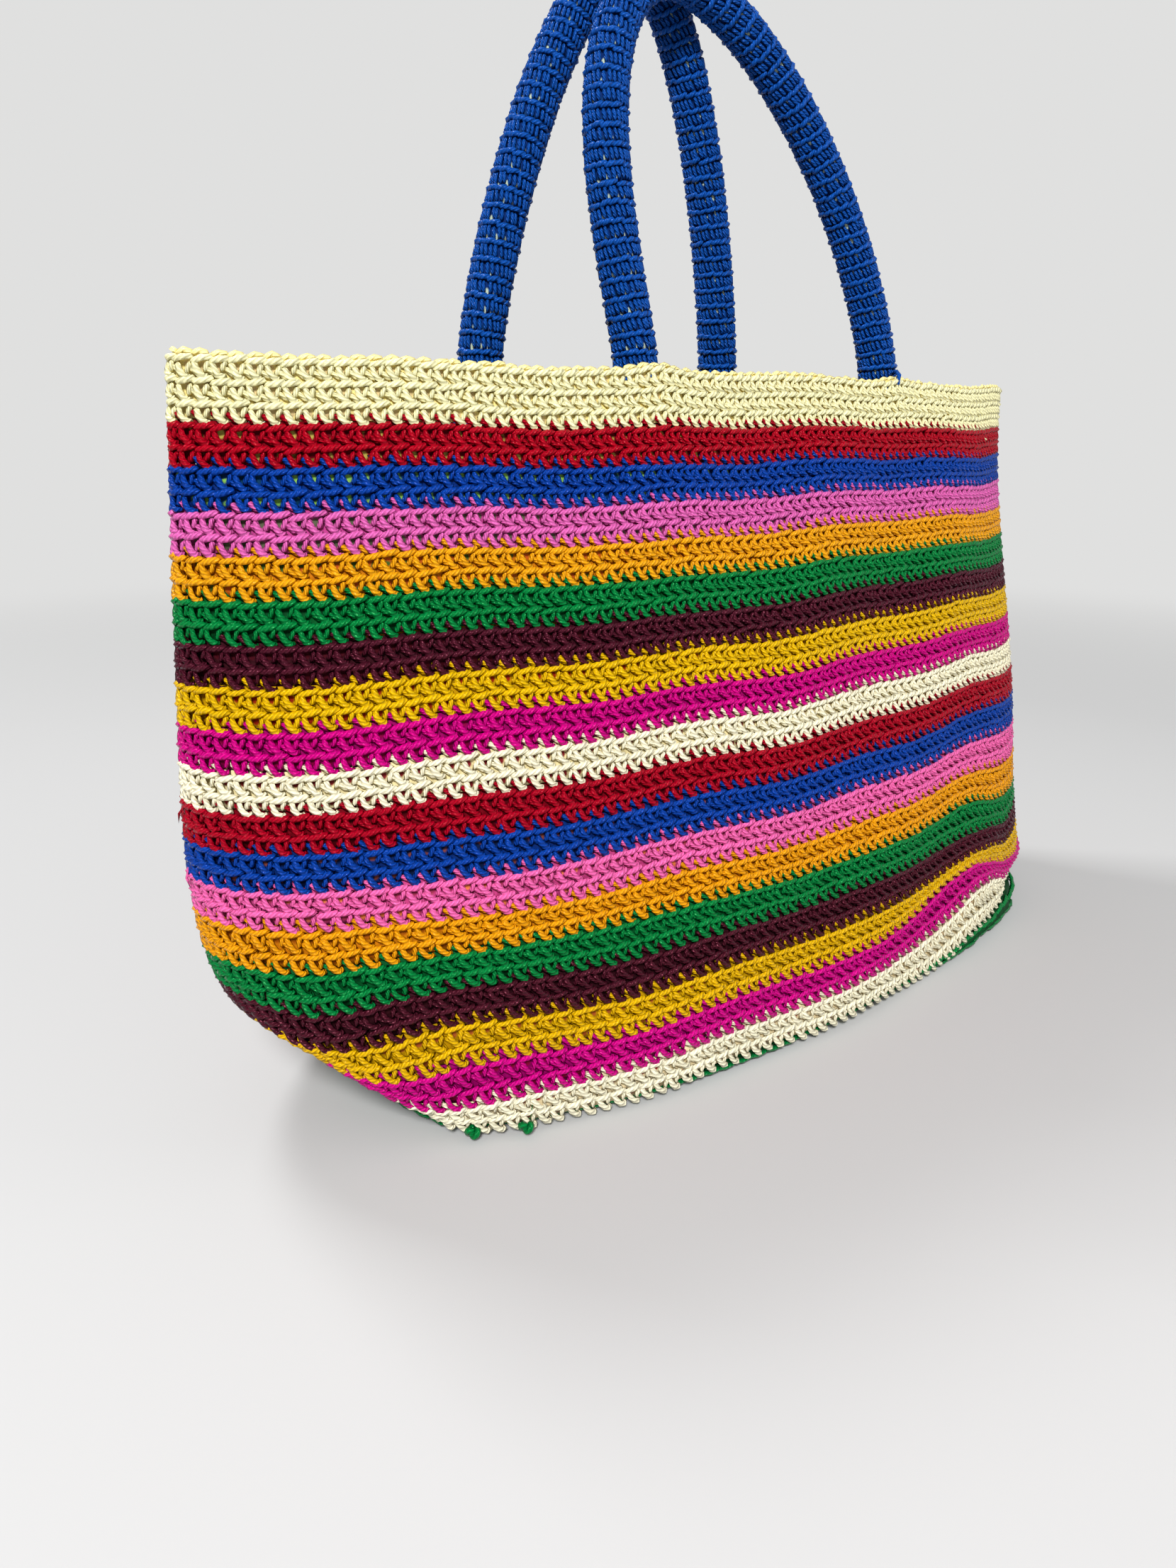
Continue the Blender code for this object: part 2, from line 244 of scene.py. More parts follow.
def wall_round(row):
    """The outside of the wall at a row: points at even steps round it, from the left end."""
    up = row / ROW_COUNT
    share = np.sin(np.linspace(-0.5 * math.pi, 0.5 * math.pi, OUTLINE_POINTS))
    middle = of_end("middle", share)
    low = (of_end("base", share) - middle) * max(0.0, 1.0 - 2.0 * up) ** END_ROUNDING
    high = (of_end("rim", share) - middle) * max(0.0, 2.0 * up - 1.0) ** 2
    x = (middle + low + high) * share
    half_depth = BASE_HALF_DEPTH - (BASE_HALF_DEPTH - RIM_HALF_DEPTH) * up ** DEPTH_FALL
    belly = of_end("belly", share) + (RIM_BELLY - of_end("belly", share)) * up * up
    shoulder = BASE_SHOULDER + (RIM_SHOULDER - BASE_SHOULDER) * up
    y = half_depth * np.maximum(0.0, 1.0 - np.abs(share) ** shoulder) ** (1.0 / belly)
    flat = of_end("flat", share) / of_end("base", share)
    curl = np.maximum(0.0, (np.abs(share) - flat) / (1.0 - flat)) ** of_end("power", share)
    fade = max(0.0, 1.0 - up * WALL_HEIGHT / LIFT_REACH) ** 2
    z = WALL_FOOT + WALL_HEIGHT * up + of_end("lift", share) * curl * fade
    front = np.stack((x, -y, z), axis=1)
    outline = np.concatenate((front, front[-2::-1] * (1.0, -1.0, 1.0)))
    count = STITCHES * STITCH_POINTS
    return at_lengths(outline, np.arange(count) / count * lengths_along(outline)[-1])


def smooth(value, low, high):
    share = np.clip((value - low) / (high - low), 0.0, 1.0)
    return share * share * (3.0 - 2.0 * share)


def sag(x, row):
    """How far the wall stands above (or hangs below) its even place: it sags at both ends."""
    at_x = np.array([np.interp(x, SAG_XS, line) for line in SAG])
    reach = len(x) // SAG_EVENED
    window = np.hanning(2 * reach + 1)
    ring = np.concatenate((at_x[:, -reach:], at_x, at_x[:, :reach]), axis=1)
    at_x = np.array([np.convolve(line, window / window.sum(), "valid") for line in ring])
    return MM * np.array([np.interp(row, SAG_ROWS, at_x[:, i]) for i in range(len(x))])


def waves(x, y, z, kinds):
    """Long, slight swells over the wall: the sum of those that are named."""
    return sum(np.sin(a * x + b * y + c * z + start) for a, b, c, start in kinds)


def folded(x, right_fold):
    """How much of the fold there is at x: all of it at the right end, and less at the left."""
    return smooth(x, *right_fold) + LEFT_FOLD_SHARE * smooth(-x, *LEFT_FOLD)


def wall_grid():
    """All rounds, with one more below the foot and above the rim, as the soft wall lies. They
    are inside the outline by so much that the crests of the cord reach the outline."""
    rounds = [wall_round(row) for row in range(ROW_COUNT + 1)]
    below = rounds[0] + (rounds[0] - rounds[1])
    above = rounds[-1] + (rounds[-1] - rounds[-2])
    grid = np.array([below] + rounds + [above])
    x, y, z = np.moveaxis(grid, -1, 0)
    side = np.sign(y) * np.minimum(1.0, np.abs(y) / STILL_DEPTH)
    grid[:, :, 1] += side * WAVE_OUT * waves(x, y, z, WAVES_OUT)
    grid[:, :, 2] += WAVE_UP * waves(x, y, z, WAVES_UP)
    inward = unit(rounds[0][:, :2] * FOLD_AIM)
    for line, row in enumerate(range(-1, ROW_COUNT + 2)):
        rows_left = max(0.0, FOLD_ROWS - row)
        fold = FOLD_INWARD * folded(x[line], WALL_FOLD) * (rows_left / FOLD_ROWS) ** FOLD_POWER
        grid[line, :, :2] -= fold[:, None] * inward
        grid[line, :, 2] += sag(x[line], row)
        swell = np.exp(-((x[line] - CORNER_X) / CORNER_WIDTH) ** 2)
        bulge = CORNER_BULGE * swell * rows_left / FOLD_ROWS
        grid[line, :, 1] -= bulge * (y[line] < 0.0)
    for place in RIM_LIFTS:
        lift = np.exp(-((x - place) / RIM_LIFT_REACH) ** 2)
        lift = lift * np.clip(1.0 - (RIM_TOP - z) / RIM_LIFT_DEPTH, 0.0, 1.0)
        grid += lift[..., None] * RIM_LIFT_WAY * RIM_LIFT * (y < 0.0)[..., None]
    return grid - FABRIC_INSET * surface_normals(grid)


wall = Fabric(wall_grid(), -1.0, 1.0, STITCHES)


class Parts:
    """Meshes that are joined into one piece, with what the cord material reads from them:
    cord is the distance along a strand and the turn round it (or a place on the lining),
    and yarn is how light the strand is painted, at random within a range that is painted
    light and shade by its place in the stitch, its height on the fabric, which sets the
    painted shade in its crevices, and 1 for lining."""

    def __init__(self):
        self.points = []
        self.faces = []
        self.cord = []
        self.yarn = []
        self.count = 0

    def add(self, points, faces, cord, yarn):
        self.faces += [face + self.count for face in faces]
        self.points.append(points.reshape(-1, 3))
        self.cord.append(cord.reshape(-1, 3))
        self.yarn.append(yarn.reshape(-1, 3))
        self.count += points.size // 3

    def build(self, name, material):
        mesh = bpy.data.meshes.new(name)
        faces = [corners for group in self.faces for corners in group.tolist()]
        mesh.from_pydata(np.concatenate(self.points), [], faces)
        for attribute, values in (("cord", self.cord), ("yarn", self.yarn)):
            data = mesh.attributes.new(attribute, "FLOAT_VECTOR", "POINT").data
            data.foreach_set("vector", np.concatenate(values).astype(np.float32).ravel())
        mesh.shade_smooth()
        mesh.materials.append(material)
        piece = bpy.data.objects.new(name, mesh)
        bpy.context.scene.collection.objects.link(piece)
        return piece


def tube_faces(rings, sides):
    """Faces of a tube between its first and last point, with rings of points between them."""
    side = np.arange(sides)
    following = (side + 1) % sides
    first = np.stack((np.zeros_like(side), 1 + following, 1 + side), axis=1)
    last_ring = 1 + (rings - 1) * sides
    last_point = np.full_like(side, 1 + rings * sides)
    last = np.stack((last_point, last_ring + side, last_ring + following), axis=1)
    start = 1 + np.arange(rings - 1)[:, None] * sides
    quads = np.stack((
        start + side, start + following, start + sides + following, start + sides + side
    ), axis=-1).reshape(-1, 4)
    return np.concatenate((first, last)), quads


def strands(parts, centre, outward, height, radius, sides, tones):
    """A tube of cord along each path, drawn to a point at both ends, which lie hidden."""
    count, steps = centre.shape[:2]
    along = unit(np.gradient(centre, axis=1))
    side = unit(np.cross(along, outward))
    outward = np.cross(side, along)
    turn = 2.0 * math.pi * np.arange(sides) / sides
    ring = outward[:, 1:-1, None] * np.cos(turn)[:, None]
    ring = ring + side[:, 1:-1, None] * np.sin(turn)[:, None]
    radius = radius * np.ones((count, steps - 2))
    radius[:, [0, -1]] *= END_TAPER
    rings = centre[:, 1:-1, None] + ring * radius[:, :, None, None]
    points = np.concatenate((centre[:, :1], rings.reshape(count, -1, 3), centre[:, -1:]), axis=1)
    pace = np.linalg.norm(np.diff(centre, axis=1, prepend=centre[:, :1]), axis=2)
    length = np.cumsum(pace, axis=1)
    cord = np.zeros(points.shape)
    cord[:, [0, -1], 0] = length[:, [0, -1]]
    cord[:, 1:-1, 0] = np.repeat(length[:, 1:-1], sides, axis=1)
    cord[:, 1:-1, 1] = np.tile(np.cos(turn), steps - 2)
    cord[:, 1:-1, 2] = np.tile(np.sin(turn), steps - 2)
    yarn = np.zeros(points.shape)
    yarn[:, :, 0] = chance.uniform(*tones, (count, 1))
    # The height on the fabric sets the painted shade in crevices: round each strand it is taken lower
    # on the side that faces into the fabric, so that side is painted darker
    yarn[:, [0, -1], 1] = height[:, [0, -1]]
    yarn[:, 1:-1, 1] = np.repeat(height[:, 1:-1], sides, axis=1) + CORD_RADIUS * cord[:, 1:-1, 1]
    shift = (np.arange(count) * points.shape[1])[:, None, None]
    faces = [(group + shift).reshape(-1, group.shape[1]) for group in tube_faces(steps - 2, sides)]
    parts.add(points, faces, cord, yarn)


def stitch_strands(parts, fabric, shape, rows, radius, sides, tones):
    """The same strand of every stitch in the rows, each a little out of true."""
    row, stitch = np.meshgrid(rows, np.arange(fabric.stitches), indexing="ij")
    row = row.reshape(-1, 1).astype(float)
    stitch = stitch.reshape(-1, 1) + STITCH_LEAN * row
    slip = chance.normal(0.0, LOOSENESS, (len(row), 2, 1))
    bend = chance.normal(0.0, BENDING * LOOSENESS, (len(row), 2, len(shape)))
    across = stitch + shape[:, 0] + slip[:, 0] + bend[:, 0]
    upward = row + shape[:, 1] + UPWARD_LOOSENESS * slip[:, 1] + bend[:, 1]
    height = np.broadcast_to(shape[:, 2] * MM, across.shape)
    centre, outward = fabric.place(across, upward, height)
    radius = radius * chance.normal(1.0, CORD_UNEVEN, (len(row), 1))
    strands(parts, centre, outward, height, radius, sides, tones)


def single_strand(parts, fabric, stitch, row, path, radius, tones):
    """One strand on a path of its own, that starts from a stitch and a row."""
    steps = np.array(path)[None]
    height = MM * steps[:, :, 2]
    centre, outward = fabric.place(stitch + steps[:, :, 0], row + steps[:, :, 1], height)
    strands(parts, centre, outward, height, radius, 5, tones)


# Each strand is painted lighter or darker at random within one of these ranges, and the ranges are
# painted light and shade: the front loops, on top where the light falls, lighter; the back loops, sunk
# behind them, darker; and the legs between
LEG_TONES_AND_LIGHT = (0.15, 0.65)
FRONT_TONES_AND_LIGHT = (0.5, 1.0)
BACK_TONES_AND_SHADE = (0.0, 0.4)


def crochet(parts, fabric, rows, back_loop=BACK_LOOP):
    """Whole stitches: two legs, the rope of front loops over them, and the back loops behind it."""
    stitch_strands(parts, fabric, LEFT_LEG, rows, CORD_RADIUS, 5, LEG_TONES_AND_LIGHT)
    stitch_strands(parts, fabric, RIGHT_LEG, rows, RIGHT_LEG_RADIUS, 4, LEG_TONES_AND_LIGHT)
    stitch_strands(parts, fabric, FRONT_LOOP, rows, FRONT_LOOP_RADIUS, 5, FRONT_TONES_AND_LIGHT)
    stitch_strands(parts, fabric, back_loop, rows, CORD_RADIUS, 4, BACK_TONES_AND_SHADE)


def lining_sheet(parts, fabric, low, high, thickness, columns):
    """The body of the crochet behind the strands, with ridges of yarn on its inner side."""
    profile = []
    for row in range(low, high):
        profile.append((row + LINING_GROOVE, LINING_DEPTH))
        profile.append((row + 0.5, LINING_DEPTH + LINING_SWELL))
    profile.append((high - LINING_GROOVE, LINING_DEPTH))
    for row in range(high, low, -1):
        profile.append((row - LINING_GROOVE, LINING_RIDGE - thickness))
        profile.append((row - 0.5, -thickness))
    profile.append((low + LINING_GROOVE, LINING_RIDGE - thickness))
    row, depth = np.array(profile).T
    across = np.linspace(0.0, fabric.stitches, columns + 1)[:, None] + np.zeros(len(row))
    row, depth = np.broadcast_to(row, across.shape), np.broadcast_to(depth, across.shape)
    points, _ = fabric.place(across, row, depth)
    here = np.arange(columns)[:, None] * len(profile) + np.arange(len(profile))
    beside = here + len(profile)
    above, above_beside = np.roll(here, -1, axis=1), np.roll(beside, -1, axis=1)
    quads = np.stack((here, beside, above_beside, above), axis=-1).reshape(-1, 4)
    cord = np.stack((across - STITCH_LEAN * row, row, depth / MM), axis=-1)
    yarn = np.stack((np.full(row.shape, 0.5), depth, np.ones(row.shape)), axis=-1)
    parts.add(points, [quads], cord, yarn)


class Shade:
    """A socket in a material's tree. Arithmetic on it adds Math nodes."""

    def __init__(self, tree, socket=None):
        self.tree = tree
        self.socket = socket

    def node(self, kind, settings, inputs, output=0):
        """Adds a node: settings first, then the values or links of its inputs."""
        made = self.tree.nodes.new(kind)
        for name, value in settings.items():
            setattr(made, name, value)
        for name, value in inputs.items():
            if isinstance(value, Shade):
                self.tree.links.new(value.socket, made.inputs[name])
            else:
                made.inputs[name].default_value = value
        return Shade(self.tree, made.outputs[output] if made.outputs else None)

    def maths(self, operation, *values):
        return self.node("ShaderNodeMath", {"operation": operation}, dict(enumerate(values)))

    def __add__(self, other):
        return self.maths("ADD", self, other)

    def __sub__(self, other):
        return self.maths("SUBTRACT", self, other)

    def __rsub__(self, other):
        return self.maths("SUBTRACT", other, self)

    def __mul__(self, other):
        return self.maths("MULTIPLY", self, other)

    __radd__ = __add__
    __rmul__ = __mul__

    def blend(self, low, high):
        """The colour low where this is 0, and high where it is 1."""
        return self.node("ShaderNodeMix", {"data_type": "RGBA"}, {0: self, 6: low, 7: high}, 2)

    def between(self, low, high):
        """0 up to the value low, 1 from the value high on, and even between them."""
        return self.node("ShaderNodeMapRange", {}, {"Value": self, 1: low, 2: high})


def bare_material(name):
    """A material without nodes, and a start for its tree."""
    material = bpy.data.materials.new(name)
    material.use_nodes = True
    material.node_tree.nodes.clear()
    return material, Shade(material.node_tree)


def opaque(colour, level=1.0):
    return (*(level * value for value in colour), 1.0)


# The look of the cord: three plies twisted together, with fine fibres that run along them
PLIES = 3
LAY = 1.9 * MM
PLY_RELIEF = 0.30 * MM
FIBRE_RELIEF = 0.35
FIBRE_FINENESS = (7.0, 250.0, 40.0)
# How the cord is painted lighter and darker: the grooves between its plies darker, a painted shade;
# each strand by its range of tones, partly painted light; its fibres in streaks, their own tones and
# partly painted highlight. The sum runs its colour from DEEP times it, painted shade, to BRIGHT times
# it, painted highlight
PLY_GROOVE_SHADE, STRAND_TONE_AND_LIGHT, FIBRE_TONE_AND_HIGHLIGHT, TONE_FALL = 0.4, 0.25, 0.9, 0.35
DEEP, BRIGHT = 0.4, 1.15
GLOSS = 0.28
PLAIN_GLOSS, TINTED_GLOSS = 0.2, 0.8
ROUGHNESS, FIBRE_ROUGHNESS, LINING_ROUGHNESS = 0.14, 0.2, 0.5
# Painted shade in crevices: the heights on the fabric at which the cord is painted all in its crevices'
# colour, and all in its lit colour
HOLLOW, CREST = -0.9 * MM, 1.3 * MM
# The holes between strands: their middle in each stitch and row, how softly they end, how much
# painted shade darkens what shows through them, its specks, and the depths (in mm) at which it is
# painted
HOLE_AT = (-0.10, 0.38)
HOLE_EDGE = (0.16, 0.26)
HOLE_SHADE_LEVEL = 0.8
SPECK_SIZE, SPECK_EDGE = 1.1, (0.46, 0.52)
OUTER_SIDE = (-1.4, -1.2)
LUMP_SIZE, LUMP_DARK, LUMP_LIGHT, LUMP_RELIEF = 3.0, 0.5, 1.2, 2.0


def from_middle(place, middle):
    """How far a place is from the middle of the nearest hole, in stitches or rows."""
    return place.maths("FRACT", place + (0.5 - middle)) - 0.5


def noise(surface, place, scale, detail):
    """Soft blotches of the cord, from 0 to 1."""
    inputs = {"Vector": place, "Scale": scale, "Detail": detail}
    return surface.node("ShaderNodeTexNoise", {}, inputs, 0)


def cord_material(name, colour, crevice_shade, hole, speck=None, lay=LAY, hole_at=HOLE_AT):
    """Twisted cord, darker in the grooves between its plies as painted shade and lighter in streaks
    along its fibres, partly their own tones and partly painted highlight. Where the cord dips it is
    painted in the colour of shade in its crevices, and so is the lining. What shows through the
    holes has the hole colour, darkened as painted shade, with specks of another yarn."""
    material, surface = bare_material(name)
    cord = surface.node("ShaderNodeAttribute", {"attribute_name": "cord"}, {}, "Vector")
    yarn = surface.node("ShaderNodeAttribute", {"attribute_name": "yarn"}, {}, "Vector")
    along, cosine, sine = (
        surface.node("ShaderNodeSeparateXYZ", {}, {0: cord}, axis) for axis in range(3)
    )
    tone_and_light, height, lining = (
        surface.node("ShaderNodeSeparateXYZ", {}, {0: yarn}, axis) for axis in range(3)
    )
    turn = sine.maths("ARCTAN2", sine, cosine) * (PLIES / (2.0 * math.pi))
    wave = along * (1.0 / lay) + turn
    ply = 0.5 - 0.5 * wave.maths("COSINE", wave * (2.0 * math.pi))
    round_ply, down_cord, by_strand = FIBRE_FINENESS
    streak = surface.node("ShaderNodeCombineXYZ", {}, {
        0: wave * round_ply, 1: along * down_cord, 2: tone_and_light * by_strand,
    })
    fibre = noise(surface, streak, 1.0, 2.0)
    # Painted shade in the ply grooves, painted highlight on the fibre streaks, and the strand's painted
    # light and tones
    light = ply * PLY_GROOVE_SHADE + tone_and_light * STRAND_TONE_AND_LIGHT + fibre * FIBRE_TONE_AND_HIGHLIGHT - TONE_FALL
    open_cord = light.blend(opaque(colour, DEEP), opaque(colour, BRIGHT))
    # Painted shade: where the cord dips towards the fabric it takes the colour of its crevices
    front = height.between(HOLLOW, CREST).blend(opaque(crevice_shade), open_cord)

    lump = noise(surface, cord, LUMP_SIZE, 1.0)
    # What shows through the holes: the hole colour, darkened as painted shade
    seen = opaque(hole, HOLE_SHADE_LEVEL)
    if speck:
        spot = noise(surface, cord, SPECK_SIZE, 0.0)
        seen = spot.between(*SPECK_EDGE).blend(seen, opaque(speck))
    off_side = from_middle(along, hole_at[0])
    off_row = from_middle(cosine, hole_at[1])
    off_hole = off_side.maths("SQRT", off_side * off_side + off_row * off_row)
    in_hole = (1.0 - off_hole.between(*HOLE_EDGE)) * sine.between(*OUTER_SIDE)
    # The lining behind the strands is painted in the colour of the crevices as shade, lighter and
    # darker in lumps
    shaded = lump.blend(opaque(crevice_shade, LUMP_DARK), opaque(crevice_shade, LUMP_LIGHT))
    painted = lining.blend(front, in_hole.blend(shaded, seen))

    relief = (ply + fibre * FIBRE_RELIEF) * (1.0 - lining) + lump * lining * LUMP_RELIEF
    bump = surface.node("ShaderNodeBump", {}, {
        "Strength": 1.0, "Distance": PLY_RELIEF, "Height": relief,
    })
    tint = [PLAIN_GLOSS + TINTED_GLOSS * value / max(colour) for value in colour]
    shader = surface.node("ShaderNodeBsdfPrincipled", {}, {
        "Base Color": painted,
        "Roughness": fibre * FIBRE_ROUGHNESS + lining * LINING_ROUGHNESS + ROUGHNESS,
        "Normal": bump,
        "Specular IOR Level": GLOSS,
        "Specular Tint": opaque(tint),
    })
    surface.node("ShaderNodeOutputMaterial", {}, {"Surface": shader})
    return material


# For each band, from the rim down: the colour of its cord; the painted shade in its crevices and
# on the fabric behind its strands; what shows in its holes, partly the yarn behind them and partly
# painted shade; and the yarn of another colour that shows in some of them
BLUE = (0.003, 0.048, 0.33)
GREEN = (0.001, 0.19, 0.040)
BANDS = dict(
    band_01_cream=((0.95, 0.90, 0.52), (0.95, 0.80, 0.30), (0.76, 0.58, 0.28)),
    band_02_red=((0.39, 0.001, 0.012), (0.20, 0.001, 0.007), (0.14, 0.001, 0.006), (0.38, 0.32, 0.06)),
    band_03_blue=(BLUE, (0.002, 0.022, 0.16), (0.002, 0.04, 0.10), (0.20, 0.42, 0.06)),
    band_04_pink=((0.74, 0.13, 0.44), (0.48, 0.05, 0.24), (0.10, 0.12, 0.06)),
    band_05_orange=((0.84, 0.36, 0.006), (0.52, 0.16, 0.003), (0.05, 0.12, 0.02), (0.45, 0.08, 0.01)),
    band_06_green=(GREEN, (0.001, 0.08, 0.016), (0.001, 0.04, 0.010)),
    band_07_burgundy=((0.058, 0.006, 0.015), (0.022, 0.003, 0.005), (0.05, 0.002, 0.005)),
    band_08_yellow=((0.77, 0.46, 0.002), (0.52, 0.28, 0.001), (0.30, 0.012, 0.004)),
    band_09_magenta=((0.60, 0.001, 0.21), (0.28, 0.001, 0.10), (0.26, 0.001, 0.05)),
    band_10_cream=((0.97, 0.90, 0.65), (0.84, 0.72, 0.38), (0.22, 0.004, 0.012)),
    band_11_red=((0.37, 0.001, 0.014), (0.15, 0.001, 0.006), (0.08, 0.001, 0.004)),
    band_12_blue=(BLUE, (0.002, 0.020, 0.14), (0.004, 0.012, 0.05), (0.20, 0.05, 0.03)),
    band_13_pink=((0.90, 0.14, 0.42), (0.52, 0.05, 0.20), (0.40, 0.04, 0.10), (0.80, 0.22, 0.06)),
    band_14_orange=((0.84, 0.34, 0.004), (0.56, 0.18, 0.003), (0.40, 0.10, 0.003)),
    band_15_green=(GREEN, (0.001, 0.07, 0.015), (0.001, 0.035, 0.010)),
    band_16_burgundy=((0.056, 0.006, 0.014), (0.018, 0.003, 0.005), (0.02, 0.003, 0.004)),
    band_17_yellow=((0.76, 0.44, 0.002), (0.48, 0.26, 0.001), (0.45, 0.10, 0.02)),
    band_18_magenta=((0.62, 0.002, 0.23), (0.28, 0.001, 0.11), (0.30, 0.004, 0.04)),
    band_19_cream=((0.96, 0.90, 0.66), (0.84, 0.70, 0.42), (0.50, 0.20, 0.18), (0.41, 0.004, 0.018)),
)
CREAM_LAY = 2.6 * MM
# Ends of yarn that show on the outside of some bands: stitch, row and the end's own path
END_RADIUS = 0.6 * MM
LOOSE_ENDS = dict(
    band_01_cream=(
        76.0, 35.2, ((0.0, 0.2, -2.0), (0.0, 0.1, 0.6), (0.25, -0.1, 2.2), (0.6, -0.3, 1.6))
    ),
    band_11_red=(
        0.2, 17.7, ((0.0, 0.3, -1.5), (-0.3, 0.1, 1.5), (-0.8, -0.5, 3.2), (-1.0, -1.1, 3.4))
    ),
    band_13_pink=(
        171.3, 14.1, ((0.0, 0.3, -1.5), (-0.2, 0.0, 1.5), (0.2, -0.4, 3.0), (0.4, -0.9, 2.6))
    ),
)
high = ROW_COUNT
for band_name, colours in BANDS.items():
    colour_name = band_name.split("_")[-1]
    low = high - (RIM_ROWS if high == ROW_COUNT else BAND_ROWS)
    band = Parts()
    if band_name in LOOSE_ENDS:
        single_strand(band, wall, *LOOSE_ENDS[band_name], END_RADIUS, FRONT_TONES_AND_LIGHT)
    if high == ROW_COUNT:
        crochet(band, wall, np.arange(low, high - 1))
        crochet(band, wall, np.array((high - 1,)), RIM_LOOP)
    else:
        crochet(band, wall, np.arange(low, high))
    lining_sheet(band, wall, low, high, WALL - FABRIC_INSET, LINING_COLUMNS)
    lay = CREAM_LAY if colour_name == "cream" else LAY
    piece = band.build(band_name + "_crochet", cord_material(band_name + "_cord", *colours, lay=lay))
    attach(piece, "bag")
    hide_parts(band_name)
    high = low

# Base: an oval of the same cord in green, crocheted in rounds from a straight chain in its
# middle. The wall is worked on from its edge, and its right end hangs a little below the
# wall, where its last rounds show as a green lip.
BASE_THICKNESS = 0.0038
BASE_INSET = 0.0020
BASE_EDGE = 0.0030
BASE_CLEARANCE = 0.9 * MM
BASE_LINING = 1.3 * MM
BASE_FOLD = (0.185, 0.235)
# How much of the ends' curl the underside takes up: in its middle, and along its edge
KEEL_SHARE = 0.60
LEFT_LIP_SHARE, RIGHT_LIP_SHARE = 1.0, 0.0
SPINE_HALF_LENGTH = 0.120
BASE_ROUNDS = 11
BASE_STITCH = 0.0083
BASE_COLUMNS = 60
LIP_REACH = 0.0065
LIP_FROM = (0.05, 0.10)
# The leg of a stitch, with fewer points than in the wall
BASE_LEG = LEFT_LEG[[0, 1, 3, 5, 6]]


def base_round(reach, height):
    """Points round the base: reach 1 is its edge; height 0 its underside and 1 its upper side."""
    edge = wall_round(0)
    x, y = edge[:, 0], edge[:, 1]
    outer = unit(np.stack((x * (BASE_HALF_DEPTH / LEFT_END["base"]) ** 2, y), axis=1))
    inset = BASE_INSET + BASE_EDGE * (1.0 - height) + CORD_RADIUS
    inset -= LIP_REACH * smooth(x, *LIP_FROM) * (1.0 - height)
    inset += FOLD_INWARD * folded(x, BASE_FOLD)
    end = np.where(x < 0.0, LEFT_END["base"], RIGHT_END["base"])
    spine = SPINE_HALF_LENGTH * x / end
    rim_x, rim_y = x - inset * outer[:, 0], y - inset * outer[:, 1]
    across, depth = spine + (rim_x - spine) * reach, rim_y * reach
    share = across / end
    flat = of_end("flat", share) / of_end("base", share)
    curl = np.clip((np.abs(share) - flat) / (1.0 - flat), 0.0, 1.0) ** of_end("power", share)
    lift = of_end("lift", share) * curl
    lip = np.where(x < 0.0, LEFT_LIP_SHARE, RIGHT_LIP_SHARE)
    keel = lift * (KEEL_SHARE + (lip - KEEL_SHARE) * reach * reach)
    under = keel + FABRIC_INSET + BASE_CLEARANCE
    over = lift + BASE_THICKNESS + np.interp(x, SAG_XS, SAG[0]) * MM
    return np.stack((across, depth, under + (over - under) * height), axis=1)


base_grid = [base_round(step / BASE_ROUNDS, 0.0) for step in range(BASE_ROUNDS + 1)]
base_grid = np.array(base_grid + [base_round(1.0, 1.0)])
base = Parts()
for row in range(BASE_ROUNDS + 1):
    stitches = round(lengths_along(base_grid[row])[-1] / BASE_STITCH)
    fabric = Fabric(base_grid, 0.0, 1.0, stitches)
    rounds = np.array((row,))
    if row < BASE_ROUNDS:
        stitch_strands(base, fabric, BASE_LEG, rounds, CORD_RADIUS, 4, LEG_TONES_AND_LIGHT)
    stitch_strands(base, fabric, FRONT_LOOP, rounds, CORD_RADIUS, 4, FRONT_TONES_AND_LIGHT)
lining_sheet(base, fabric, 0, BASE_ROUNDS + 1, BASE_LINING, BASE_COLUMNS)
green_cord = cord_material("base_cord", *BANDS["band_15_green"])
base_piece = base.build("base_crochet", green_cord)
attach(base_piece, "bag")
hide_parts("base_green")

# Knots: two small knots of the green yarn, where it was tied off under the front left corner.
# Each is one turn of the cord pulled tight; a thin fibre stands out of the second one.
KNOT_XS = (-0.169, -0.151)
KNOT_SIZE = 0.78 * MM
KNOT_CORD_RADIUS = 1.25 * MM
KNOT_RISE = 3.4 * MM
KNOT_OUT = 3.4 * MM
KNOT_DEPTH = 1.3
KNOT_POINTS = 49
FIBRE_RADIUS = 0.22 * MM
FIBRE_PATH = np.array((
    (0.0, -1.0, 1.0), (1.0, -1.5, 4.5), (2.2, -0.8, 8.5),
    (3.8, 0.2, 11.0), (4.6, 1.2, 8.0), (3.6, 1.8, 3.0),
))
FIBRE_OUTWARD = (0.0, -1.0, 0.2)

